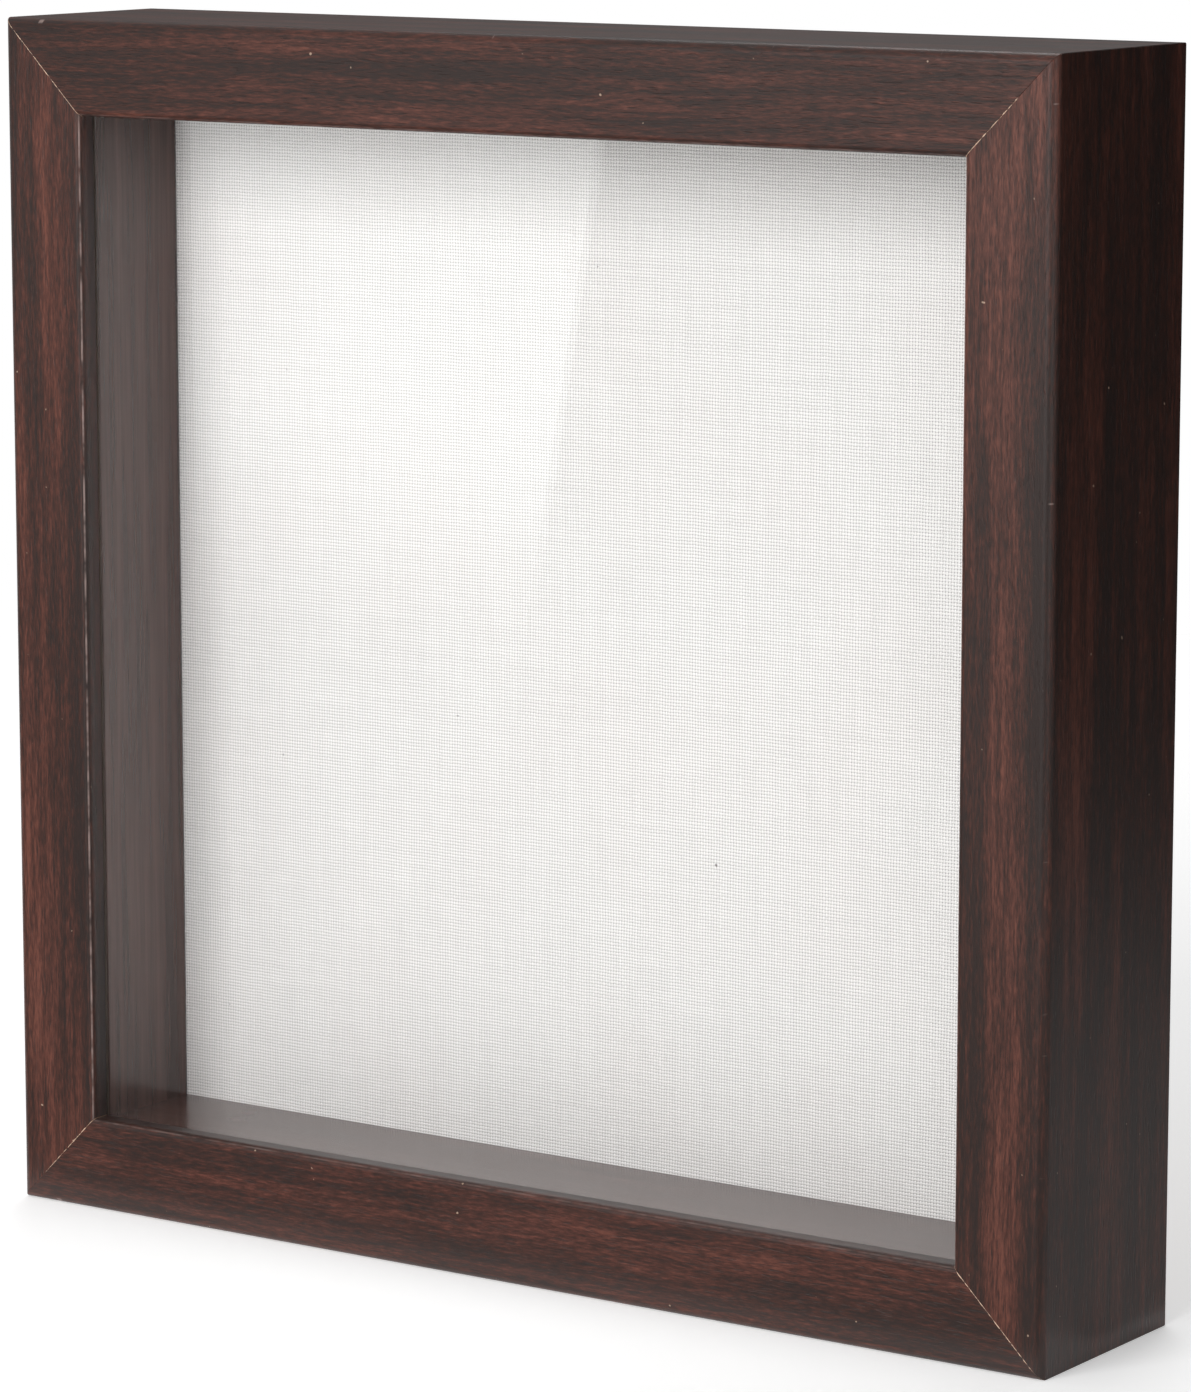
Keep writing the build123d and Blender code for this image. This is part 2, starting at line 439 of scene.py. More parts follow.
        # How far from the sight edge each corner's line reaches, in face widths
        reach = 0.62 + right * 0.26 + top * 0.58 - right * top * 0.96
        ragged = shader.noise((x, up, 0.0), 900.0, 2.0)
        wide = (ragged - 0.36) * (3.4 * self.hairline)
        line = (wide - beyond).rise(-0.03 * MM, 0.03 * MM)
        return line * (reach - outward + (ragged - 0.5) * 0.5).rise(-0.10, 0.10)


@dataclass(frozen=True)
class SpacerWrap:
    """Smooth, nearly black foil with a faint grain, cut square at its front end.

    Args:
        grain: the axis that the grain runs along.
        front_y: where the strip's front end is.
        dark: the colour between the streaks.
        light: the streaks' colour.
        core: the colour of the cut front end.
        relief: the depth of the grain.
        roughness: how matt the foil is.
    """

    grain: Grain
    front_y: float
    dark: Colour = (0.040, 0.0185, 0.0150)
    light: Colour = (0.105, 0.0510, 0.0410)
    core: Colour = (0.30, 0.25, 0.21)
    relief: float = 0.012 * MM
    roughness: float = 0.25

    def material(self) -> bpy.types.Material:
        """Build the material.

        Returns:
            The finished material.
        """
        shader = Shader(f"spacer_wrap_{self.grain.value}")
        x, y, z = shader.place()
        along, across = (x, z) if self.grain is Grain.ALONG_X else (z, x)
        streaks = shader.noise((along * 0.03, across, y), 420.0, 3.0, 0.6)
        fibres = shader.noise((along * 0.02, across, y), 2400.0, 1.0)
        smear = shader.noise((x, y, z), 34.0, 2.0)
        colour = shader.ramp(streaks * 0.8 + fibres * 0.2, [(0.35, self.dark), (0.68, self.light)])
        front = (y - self.front_y).rise(0.16 * MM, 0.04 * MM)
        colour = shader.mix(front * 0.8, colour, self.core)
        return shader.finish(
            shader.principled(
                {
                    "Base Color": colour,
                    "Roughness": self.roughness + (smear - 0.5) * 0.10 + front * 0.3,
                    "IOR": 1.6,
                    "Coat Weight": 0.4,
                    "Coat Roughness": 0.17,
                    "Normal": shader.bump(streaks, self.relief),
                }
            )
        )


@dataclass(frozen=True)
class WindowGlass:
    """Clear float glass that is seen through unbent, and mirrors more at a glancing angle.

    Args:
        tint: the colour that it gives to what is behind it.
        head_on: how much it mirrors when it is looked at squarely.
    """

    tint: Colour = (0.996, 0.998, 0.997)
    head_on: float = 0.043

    def material(self) -> bpy.types.Material:
        """Build the material.

        Returns:
            The finished material.
        """
        shader = Shader("window_glass")
        x, y, z = shader.place()
        dust = shader.noise((x, y, z), 55.0, 3.0)
        clear = shader.node("BsdfTransparent", inputs={"Color": self.tint}).outputs[0]
        mirror = shader.principled(
            {
                "Base Color": (0.95, 0.96, 0.955),
                "Metallic": 1.0,
                "Roughness": dust.rise(0.45, 0.8) * 0.04 + 0.008,
            }
        )
        facing = Number(shader, shader.node("LayerWeight", inputs={"Blend": 0.5}).outputs["Facing"])
        share = facing ** 5.0 * (1.0 - self.head_on) + self.head_on
        inputs = {0: share, 1: clear, 2: mirror}
        return shader.finish(shader.node("MixShader", inputs=inputs).outputs[0])


@dataclass(frozen=True)
class Linen:
    """Off-white plain weave with uneven threads, a few slubs and a few dark specks.

    Args:
        pitch: the distance from thread to thread.
        thread: the threads' colour.
        pink: their colour in the warmer patches.
        weave_shade: the painted shade in the holes between them and down their flanks.
        speck: the colour of a speck.
        sway: how far a thread wanders sideways.
        relief: the depth of the weave.
    """

    pitch: float = 0.62 * MM
    thread: Colour = (0.905, 0.885, 0.875)
    pink: Colour = (0.90, 0.862, 0.85)
    weave_shade: Colour = (0.20, 0.19, 0.185)
    speck: Colour = (0.10, 0.085, 0.075)
    sway: float = 0.30 * MM
    relief: float = 0.22 * MM

    def material(self) -> bpy.types.Material:
        """Build the material.

        Returns:
            The finished material.
        """
        shader = Shader("linen")
        u, v = shader.unwrapped()
        sway_u = shader.noise((u * 0.15, v, 0.0), 240.0, 2.0) - 0.5
        sway_v = shader.noise((u, v * 0.15, 3.0), 240.0, 2.0) - 0.5
        warp = (u + sway_u * self.sway) / self.pitch
        weft = (v + sway_v * self.sway) / self.pitch
        bump_warp, bump_weft = (warp * math.pi).sine(), (weft * math.pi).sine()
        over = bump_warp * bump_weft
        warp_over = over.above(0.0)
        # Each thread is round across itself and rises and dips along itself, so holes are left
        # only where four threads meet
        high_warp = (abs(bump_warp) ** 0.5) * (over * 0.5 + 0.5)
        high_weft = (abs(bump_weft) ** 0.5) * (0.5 - over * 0.5)
        height = high_warp.largest(high_weft)
        warp_tint = shader.noise((warp.floor() * 7.3, v * 55.0, 1.0), 1.0, 1.0)
        weft_tint = shader.noise((u * 55.0, weft.floor() * 7.3, 5.0), 1.0, 1.0)
        tint = warp_over * warp_tint + (1.0 - warp_over) * weft_tint
        thick = shader.noise((warp.floor() * 3.1, v * 160.0, 2.0), 1.0, 1.0).rise(0.66, 0.78)
        thin = shader.noise((u * 160.0, weft.floor() * 3.1, 8.0), 1.0, 1.0).rise(0.66, 0.78)
        slub = warp_over * thick + (1.0 - warp_over) * thin
        cloudy = shader.noise((u, v, 0.0), 24.0, 2.0)
        thread = shader.mix(cloudy.rise(0.35, 0.7) * 0.55, self.thread, self.pink)
        # Painted shade: the weave's height darkens the holes and the threads' flanks towards the
        # dark colour; the tint and the slubs are the threads' own
        shade = height.rise(0.08, 0.62) * 0.90 + tint * 0.20 + slub * 0.08 - 0.04
        colour = shader.mix(shade, self.weave_shade, thread)
        specks = shader.noise((u, v, 9.0), 420.0, 1.0).rise(0.812, 0.828)
        colour = shader.mix(specks * 0.75, colour, self.speck)
        return shader.finish(
            shader.principled(
                {
                    "Base Color": colour,
                    "Roughness": 0.95 - tint * 0.1,
                    "Specular IOR Level": 0.15,
                    "Sheen Weight": 0.12,
                    "Normal": shader.bump(height * 0.8 + slub * 0.3 + tint * 0.15, self.relief),
                }
            )
        )


@dataclass(frozen=True)
class Board:
    """Pressed wood fibre, from soft and pale to hard and brown.

    Args:
        name: the material's name.
        dark: the colour of its hollows.
        light: the colour of its fibres.
        roughness: how matt it is.
        relief: the depth of its fibres.
    """

    name: str
    dark: Colour
    light: Colour
    roughness: float
    relief: float

    def material(self) -> bpy.types.Material:
        """Build the material.

        Returns:
            The finished material.
        """
        shader = Shader(self.name)
        x, y, z = shader.place()
        mottle = shader.noise((x, y, z), 180.0, 4.0, 0.65)
        lying = shader.noise((x * 0.35, y, z), 1500.0, 2.0)
        standing = shader.noise((x, y, z * 0.35), 1500.0, 2.0)
        cloudy = shader.noise((x, y, z), 18.0, 2.0)
        fibre = lying.largest(standing)
        tone = mottle * 0.28 + fibre * 0.52 + cloudy * 0.2
        return shader.finish(
            shader.principled(
                {
                    "Base Color": shader.ramp(tone, [(0.33, self.dark), (0.72, self.light)]),
                    "Roughness": self.roughness + (mottle - 0.5) * 0.2,
                    "Normal": shader.bump(fibre * 0.6 + mottle * 0.4, self.relief),
                }
            )
        )


@dataclass(frozen=True)
class PlatedSteel:
    """Stamped steel under a thin bright plating, lightly scratched and dulled by handling.

    Args:
        name: the material's name.
        bright: the fresh plating's colour.
        dull: the handled plating's colour.
        roughness: how matt it is.
    """

    name: str
    bright: Colour
    dull: Colour
    roughness: float

    def material(self) -> bpy.types.Material:
        """Build the material.

        Returns:
            The finished material.
        """
        shader = Shader(self.name)
        x, y, z = shader.place()
        bloom = shader.noise((x, y, z), 260.0, 3.0, 0.6)
        rolled = shader.noise((x, y, z * 0.04), 3800.0, 2.0)
        scratch = shader.noise((x * 0.2 + z * 0.2, y, z - x), 2100.0, 1.0).rise(0.70, 0.76)
        tone = bloom * 0.7 + rolled * 0.3
        return shader.finish(
            shader.principled(
                {
                    "Base Color": shader.ramp(tone, [(0.20, self.dull), (0.70, self.bright)]),
                    "Metallic": 1.0,
                    "Roughness": self.roughness + (bloom - 0.5) * 0.25 + scratch * 0.15,
                    "Normal": shader.bump(rolled * 0.5 - scratch * 0.5, 0.01 * MM),
                }
            )
        )


@dataclass(frozen=True)
class StudioFloor:
    """Matt white floor that melts into the backdrop."""

    light: Colour = (0.92, 0.92, 0.92)
    dark: Colour = (0.90, 0.90, 0.90)
    glow: float = 0.30

    def material(self) -> bpy.types.Material:
        """Build the material.

        Returns:
            The finished material.
        """
        shader = Shader("studio_floor")
        cloudy = shader.noise(shader.place(), 2.0, 2.0)
        white = shader.principled(
            {
                "Base Color": shader.mix(cloudy, self.dark, self.light),
                "Roughness": 0.9,
                "Emission Color": (1.0, 1.0, 1.0),
                "Emission Strength": self.glow,
            }
        )
        clear = shader.node("BsdfTransparent").outputs[0]
        x, y, _ = shader.place()
        edge = (x * x + y * y).rise(0.16, 0.9)
        inputs = {0: edge, 1: white, 2: clear}
        return shader.finish(shader.node("MixShader", inputs=inputs).outputs[0])


@dataclass(frozen=True)
class FlagCloth:
    """Black studio cloth that lets more light past towards its lower edge.

    Args:
        foot: the height under which it is clear.
        full: the height over which it is at its darkest.
        darkest: how much light it stops there, from 0 to 1.
    """

    foot: float
    full: float
    darkest: float = 1.0

    def material(self) -> bpy.types.Material:
        """Build the material.

        Returns:
            The finished material.
        """
        shader = Shader("flag_cloth")
        z = shader.place()[2]
        black = shader.node("BsdfDiffuse", inputs={"Color": (0.01, 0.01, 0.01)}).outputs[0]
        clear = shader.node("BsdfTransparent").outputs[0]
        inputs = {0: z.rise(self.foot, self.full) * self.darkest, 1: clear, 2: black}
        return shader.finish(shader.node("MixShader", inputs=inputs).outputs[0])


@dataclass(frozen=True)
class GlowCloth:
    """Lit white diffusion cloth that dims towards its lower edge.

    Args:
        strength: how brightly it is lit.
        foot: the height under which it is dark.
        full: the height over which it is fully lit.
    """

    strength: float
    foot: float
    full: float

    def material(self) -> bpy.types.Material:
        """Build the material.

        Returns:
            The finished material.
        """
        shader = Shader("glow_cloth")
        z = shader.place()[2]
        lit = shader.node("Emission", inputs={"Strength": self.strength}).outputs[0]
        clear = shader.node("BsdfTransparent").outputs[0]
        inputs = {0: z.rise(self.foot, self.full), 1: clear, 2: lit}
        return shader.finish(shader.node("MixShader", inputs=inputs).outputs[0])


# ------------------------------------------------------------------------------ modelling tools
class Bench:
    """One mesh piece under edit-mode modelling."""

    def __init__(self, name: str, low: Vector, high: Vector) -> None:
        """Start from a block.

        Args:
            name: the piece's name.
            low: the block's lowest corner.
            high: the block's highest corner.
        """
        if bpy.context.mode != "OBJECT":
            bpy.ops.object.mode_set(mode="OBJECT")
        bpy.ops.object.select_all(action="DESELECT")
        bpy.ops.mesh.primitive_cube_add(size=1.0, location=(low + high) / 2)
        self.piece = bpy.context.object
        self.piece.name = name
        self.piece.data.name = name
        self.piece.scale = high - low
        bpy.ops.object.transform_apply(location=True, rotation=True, scale=True)
        bpy.ops.object.mode_set(mode="EDIT")

    def pick_faces(self, test: Callable[[bmesh.types.BMFace], bool]) -> None:
        """Select only the faces that pass a test.

        Args:
            test: says whether a face is wanted.
        """
        bpy.ops.mesh.select_mode(type="FACE")
        bpy.ops.mesh.select_all(action="DESELECT")
        mesh = bmesh.from_edit_mesh(self.piece.data)
        for face in [face for face in mesh.faces if test(face)]:
            face.select_set(True)
        bmesh.update_edit_mesh(self.piece.data)

    def pick_edges(self, test: Callable[[Vector], bool]) -> None:
        """Select only the edges whose two ends both pass a test.

        Args:
            test: says whether an edge's end is wanted.
        """
        bpy.ops.mesh.select_mode(type="EDGE")
        bpy.ops.mesh.select_all(action="DESELECT")
        mesh = bmesh.from_edit_mesh(self.piece.data)
        for edge in [edge for edge in mesh.edges if all(test(end.co) for end in edge.verts)]:
            edge.select_set(True)
        bmesh.update_edit_mesh(self.piece.data)

    def slice(self, point: Vector, normal: Vector, keep_below: bool = False) -> None:
        """Cut the whole piece by a plane.

        Args:
            point: a point on the plane.
            normal: the plane's normal.
            keep_below: whether what lies on the normal's side is thrown away and the cut is closed.
        """
        bpy.ops.mesh.select_all(action="SELECT")
        bpy.ops.mesh.bisect(
            plane_co=point,
            plane_no=normal,
            use_fill=keep_below,
            clear_outer=keep_below,
            threshold=1e-6,
        )

    def bevel(self, width: float, segments: int) -> None:
        """Bevel the selected edges."""
        bpy.ops.mesh.bevel(offset=width, segments=segments, profile=0.5, affect="EDGES")

    def modifier(self, kind: str, **settings: object) -> None:
        """Add a modifier and apply it.

        Args:
            kind: the modifier's type.
            settings: its properties.
        """
        if bpy.context.mode != "OBJECT":
            bpy.ops.object.mode_set(mode="OBJECT")
        modifier = self.piece.modifiers.new(kind.lower(), kind)
        for name, value in settings.items():
            setattr(modifier, name, value)
        bpy.ops.object.modifier_apply(modifier=modifier.name)

    def turn(self, degrees: float, centre: Vector) -> None:
        """Turn the finished mesh about the Y axis through a point.

        Args:
            degrees: how far.
            centre: the point.
        """
        turn = Matrix.Rotation(math.radians(degrees), 4, "Y")
        self.piece.data.transform(Matrix.Translation(centre) @ turn @ Matrix.Translation(-centre))

    def done(self, smooth_under: float = 40.0) -> bpy.types.Object:
        """Leave edit mode and smooth the gentle edges.

        Args:
            smooth_under: the angle, in degrees, under which an edge is smoothed.

        Returns:
            The piece.
        """
        if bpy.context.mode != "OBJECT":
            bpy.ops.object.mode_set(mode="OBJECT")
        bpy.ops.object.select_all(action="DESELECT")
        self.piece.select_set(True)
        bpy.context.view_layer.objects.active = self.piece
        bpy.ops.object.shade_smooth_by_angle(angle=math.radians(smooth_under))
        self.modifier("WEIGHTED_NORMAL", keep_sharp=True)
        return self.piece


def near(first: float, second: float, within: float = 0.01 * MM) -> bool:
    """Whether two lengths are the same, within a tolerance."""
    return abs(first - second) < within


def dress(piece: bpy.types.Object, material: bpy.types.Material) -> None:
    """Give a piece one material."""
    piece.data.materials.clear()
    piece.data.materials.append(material)


def dress_node(name: str, material: bpy.types.Material) -> None:
    """Give a CAD node one material, in the slots that it has.

    Args:
        name: the node's name.
        material: the material.
    """
    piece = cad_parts[name]
    if not piece.material_slots:
        piece.data.materials.append(material)
    for place in piece.material_slots:
        place.material = material


def settle(piece: bpy.types.Object, body: str, slot: str, *nodes: str) -> None:
    """Hand a finished piece to the frame and report it.

    Args:
        piece: the piece, in its place.
        body: the CAD body that it rides on.
        slot: not used.
        nodes: the CAD nodes that it stands for.
    """
    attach(piece, body)
    if nodes:
        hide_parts(*nodes)
    log.info("%s rides on %s, %d faces", piece.name, body, len(piece.data.polygons))


# ------------------------------------------------------------------------------ sub-assemblies
@dataclass
class MouldingFrame:
    """The four wrapped mouldings, mitred at the corners and pinned from behind.

    Args:
        low: the frame's lowest corner.
        high: the frame's highest corner.
        lip_rear: where the lip ends and the rebate begins.
        wall: the thickness of the moulding behind the lip.
        face: the width of the front face.
        outer_round: the radius of the outer front edge.
        sight_round: the radius of the sight edge.
        rear_round: the radius of the outer rear edge.
        groove: how far the cut edges of a mitre are eased.
        steel: the finish of the corner wedges.
        nodes: the CAD node that each side stands for.
    """

    low: Vector = field(default_factory=lambda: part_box("left_stile")[0])
    high: Vector = field(default_factory=lambda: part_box("right_stile")[1])
    lip_rear: float = field(default_factory=lambda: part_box("glass_pane")[0].y)
    wall: float = 12.5 * MM
    face: float = 18.5 * MM
    outer_round: float = 2.0 * MM
    sight_round: float = 1.2 * MM
    rear_round: float = 0.6 * MM
    groove: float = 0.10 * MM
    steel: PlatedSteel = PlatedSteel("wedge_steel", (0.42, 0.43, 0.45), (0.22, 0.22, 0.23), 0.42)
    nodes: dict[Side, str] = field(
        default_factory=lambda: {
            Side.TOP: "top_rail",
            Side.RIGHT: "right_stile",
            Side.BOTTOM: "bottom_rail",
            Side.LEFT: "left_stile",
        }
    )

    @property
    def centre(self) -> Vector:
        """The frame's middle."""
        return (self.low + self.high) / 2

    def build(self) -> None:
        """Model and dress the four sides."""
        half = ((self.high.x - self.low.x) / 2, (self.high.z - self.low.z) / 2)
        for side, node in self.nodes.items():
            piece = self._side(side)
            grain = Grain.ALONG_Z if side.upright else Grain.ALONG_X
            wrap = MouldingWrap(grain, half, self.centre.z, self.face, self.low.y)
            dress(piece, wrap.material())
            settle(piece, "frame", "moulding_wrap", node)
        dress_node("corner_wedges", self.steel.material())

    def _side(self, side: Side) -> bpy.types.Object:
        """Model one side, as the top, and turn it to its place.

        Args:
            side: which side.

        Returns:
            The piece.
        """
        half_long = (self.high.z - self.low.z if side.upright else self.high.x - self.low.x) / 2
        half_up = (self.high.x - self.low.x if side.upright else self.high.z - self.low.z) / 2
        top = self.centre.z + half_up
        low = Vector((-half_long, self.low.y, top - self.wall))
        bench = Bench(f"moulding_{side.name.lower()}", low, Vector((half_long, self.high.y, top)))
        self._section(bench, top)
        for hand in (-1.0, 1.0):
            self._mitre(bench, Vector((hand * half_long, 0.0, top)), hand)
        bpy.ops.object.mode_set(mode="OBJECT")
        bench.turn(side.value, Vector((0.0, 0.0, self.centre.z)))
        self._pockets(bench)
        return bench.done()

    def _section(self, bench: Bench, top: float) -> None:
        """Drop the lip from the front of the wall, and round the long edges.

        Args:
            bench: the bench that holds the wall.
            top: the height of the outer face.
        """
        bench.slice(Vector((0.0, self.lip_rear, 0.0)), Vector((0.0, 1.0, 0.0)))
        bench.pick_faces(
            lambda face: face.normal.z < -0.9 and face.calc_center_median().y < self.lip_rear
        )
        drop = {"value": (0.0, 0.0, self.wall - self.face)}
        bpy.ops.mesh.extrude_region_move(TRANSFORM_OT_translate=drop)
        rounds = (
            (self.low.y, top, self.outer_round, 7),
            (self.low.y, top - self.face, self.sight_round, 5),
            (self.high.y, top, self.rear_round, 3),
        )
        for y, z, radius, segments in rounds:
            bench.pick_edges(lambda end: near(end.y, y) and near(end.z, z))
            bench.bevel(radius, segments)

    def _mitre(self, bench: Bench, corner: Vector, hand: float) -> None:
        """Cut one end of a side at 45 degrees and ease the cut's edges.

        Args:
            bench: the bench that holds the side.
            corner: the frame's outer corner at this end.
            hand: 1 for the right end and -1 for the left.
        """
        outward = Vector((hand, 0.0, -1.0)).normalized()
        bench.slice(corner, outward, keep_below=True)
        bench.pick_edges(lambda end: near((end - corner).dot(outward), 0.0))
        bench.bevel(self.groove, 1)

    @staticmethod
    def _pockets(bench: Bench) -> None:
        """Cut the pockets of the corner wedges into a side.

        Args:
            bench: the bench that holds the side.
        """
        bpy.ops.object.select_all(action="DESELECT")
        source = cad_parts["corner_wedges"]
        cutter = bpy.data.objects.new("wedge_cutter", source.data.copy())
        bpy.context.collection.objects.link(cutter)
        bpy.context.view_layer.objects.active = cutter
        bpy.ops.object.mode_set(mode="EDIT")
        bpy.ops.mesh.select_all(action="SELECT")
        bpy.ops.mesh.remove_doubles(threshold=1e-6)
        bpy.ops.object.mode_set(mode="OBJECT")
        bpy.context.view_layer.objects.active = bench.piece
        bench.modifier("BOOLEAN", operation="DIFFERENCE", solver="EXACT", object=cutter)
        bpy.data.objects.remove(cutter)


@dataclass
class Window:
    """The pane, and the liner strips that hold it against the lip."""

    strips: tuple[str, ...] = ("spacer_top", "spacer_bottom", "spacer_left", "spacer_right")

    def build(self) -> None:
        """Dress the pane and the strips."""
        dress_node("glass_pane", WindowGlass().material())
        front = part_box("spacer_left")[0].y
        finishes = {grain: SpacerWrap(grain, front).material() for grain in Grain}
        for strip in self.strips:
            lying = strip in ("spacer_top", "spacer_bottom")
            dress_node(strip, finishes[Grain.ALONG_X if lying else Grain.ALONG_Z])
        log.info("window and %d liner strips dressed", len(self.strips))


@dataclass
class CoveredBack:
    """The pin board in its linen, with the hardboard panel behind it.

    Args:
        cloth: the linen's thickness.
        hem: how far the linen turns in behind the board.
        fold: the radius of its folds.
        loose: how far the stretched face wanders in and out.
        strips: how many strips the cover is divided into, each way.
        still: how far in from its edges the face doesn't wander.
        board: the pin board's finish.
        panel: the rear panel's finish.
    """

    cloth: float = 0.45 * MM
    hem: float = 24.0 * MM
    fold: float = 0.9 * MM
    loose: float = 0.06 * MM
    strips: int = 26
    still: float = 8.0 * MM
    board: Board = Board("fibre_board", (0.36, 0.31, 0.24), (0.60, 0.54, 0.44), 0.92, 0.25 * MM)
    panel: Board = Board("hardboard", (0.115, 0.062, 0.033), (0.235, 0.135, 0.075), 0.5, 0.05 * MM)

    def build(self) -> None:
        """Model the linen and dress the board and the panel."""
        low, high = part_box("linen_cloth")
        piece = self._cover(low, high)
        dress(piece, Linen().material())
        settle(piece, "back", "linen", "linen_cloth")
        size, turned = high - low, (high - low).y + self.hem
        flat = (size.x + 2 * turned, size.z + 2 * turned)
        area = flat[0] * flat[1] - 4 * turned**2
        dress_node("pin_board", self.board.material())
        dress_node("back_panel", self.panel.material())

    def _cover(self, low: Vector, high: Vector) -> bpy.types.Object:
        """Model the linen, folded round the board and open behind.

        Args:
            low: the cover's lowest corner.
            high: the cover's highest corner.

        Returns:
            The piece.
        """
        inset = Vector((self.cloth, self.cloth, self.cloth)) * 0.52
        inner, outer = low + inset, high - inset
        bench = Bench("linen_cover", inner, outer)
        bench.pick_faces(lambda face: face.normal.y > 0.9)
        bpy.ops.mesh.inset(thickness=self.hem, use_even_offset=True)
        bpy.ops.mesh.delete(type="FACE")
        bench.pick_edges(
            lambda end: near(end.x, inner.x)
            or near(end.x, outer.x)
            or near(end.z, inner.z)
            or near(end.z, outer.z)
        )
        bench.bevel(self.fold, 4)
        self._divide(bench, low, high)
        self._unwrap(bench, (low + high) / 2, (high - low) / 2)
        bench.modifier("SOLIDIFY", thickness=self.cloth, offset=0.0, use_even_offset=True)
        return bench.done(60.0)

    def _divide(self, bench: Bench, low: Vector, high: Vector) -> None:
        """Divide the cover so that its face can wander, and let it.

        Args:
            bench: the bench that holds the cover.
            low: the cover's lowest corner.
            high: the cover's highest corner.
        """
        for strip in range(1, self.strips):
            point = low + (high - low) * (strip / self.strips)
            bench.slice(point, Vector((1.0, 0.0, 0.0)))
            bench.slice(point, Vector((0.0, 0.0, 1.0)))
        dice = random.Random(7)
        waves = [
            (dice.uniform(18.0, 60.0), dice.uniform(18.0, 60.0), dice.uniform(0.0, 6.3))
            for _ in range(7)
        ]
        mesh = bmesh.from_edit_mesh(bench.piece.data)
        for vertex in mesh.verts:
            x, y, z = vertex.co
            if near(y, low.y, 0.4 * MM):
                edge = min(x - low.x, high.x - x, z - low.z, high.z - z)
                swell = sum(math.sin(a * x * 3 + b * z * 3 + c) for a, b, c in waves)
                vertex.co.y += self.loose * swell / 3 * min(1.0, max(0.0, edge - self.still) / 0.03)
        bmesh.update_edit_mesh(bench.piece.data)

    def _unwrap(self, bench: Bench, centre: Vector, half: Vector) -> None:
        """Lay the cover out flat, in metres, as it was cut.

        Args:
            bench: the bench that holds the cover.
            centre: the cover's middle.
            half: half of the cover's size.
        """
        mesh = bmesh.from_edit_mesh(bench.piece.data)
        layer = mesh.loops.layers.uv.new("cut")
        for face in mesh.faces:
            middle, normal = face.calc_center_median() - centre, face.normal
            sideways = half.x - abs(middle.x) < half.z - abs(middle.z)
            # The axis that this part of the cloth is folded along, of X and Z
            axis, reach, out = (0, half.x, middle.x) if sideways else (1, half.z, middle.z)
            for loop in face.loops:
                point = loop.vert.co - centre
                flat = [point.x, point.z]
                if normal.y > 0.75:
                    flat[axis] = math.copysign(2 * (reach + half.y) - abs(flat[axis]), out)
                elif normal.y > -0.75:
                    flat[axis] = math.copysign(reach + point.y + half.y, out)
                loop[layer].uv = flat
        bmesh.update_edit_mesh(bench.piece.data)


@dataclass
class Hardware:
    """The turn buttons, their screws, and the hanger with its nails."""

    buttons: tuple[str, ...] = (
        "turn_button_upper_left",
        "turn_button_lower_left",
        "turn_button_upper_right",
        "turn_button_lower_right",
    )
    zinc: PlatedSteel = PlatedSteel("zinc_plate", (0.66, 0.67, 0.68), (0.40, 0.41, 0.42), 0.34)
    screw: PlatedSteel = PlatedSteel("screw_steel", (0.70, 0.70, 0.71), (0.46, 0.46, 0.48), 0.26)
    brass: PlatedSteel = PlatedSteel("brass_plate", (0.80, 0.60, 0.27), (0.50, 0.35, 0.14), 0.28)
    nail: PlatedSteel = PlatedSteel("nail_steel", (0.62, 0.61, 0.60), (0.36, 0.35, 0.34), 0.3)

    def build(self) -> None:
        """Dress the metal pieces."""
        zinc = self.zinc.material()
        for button in self.buttons:
            dress_node(button, zinc)
        dress_node("turn_button_screws", self.screw.material())
        dress_node("sawtooth_hanger", self.brass.material())
        dress_node("hanger_nails", self.nail.material())
        log.info("%d turn buttons and the hanger dressed", len(self.buttons))


@dataclass(frozen=True)
class Card:
    """A flat card that the camera and the shadows don't see.

    Args:
        name: its name.
        corners: its corners, in order.
        cloth: its finish.
        dims_room: whether it shades the room's light, and stays out of the reflections instead.
    """

    name: str
    corners: tuple[tuple[float, float, float], ...]
    cloth: FlagCloth | GlowCloth
    dims_room: bool = False

    def stand(self) -> None:
        """Put the card in its place."""
        mesh = bpy.data.meshes.new(self.name)
        mesh.from_pydata(self.corners, [], [tuple(range(len(self.corners)))])
        card = bpy.data.objects.new(self.name, mesh)
        bpy.context.scene.collection.objects.link(card)
        dress(card, self.cloth.material())
        card.visible_camera = card.visible_shadow = False
        card.visible_diffuse, card.visible_glossy = self.dims_room, not self.dims_room


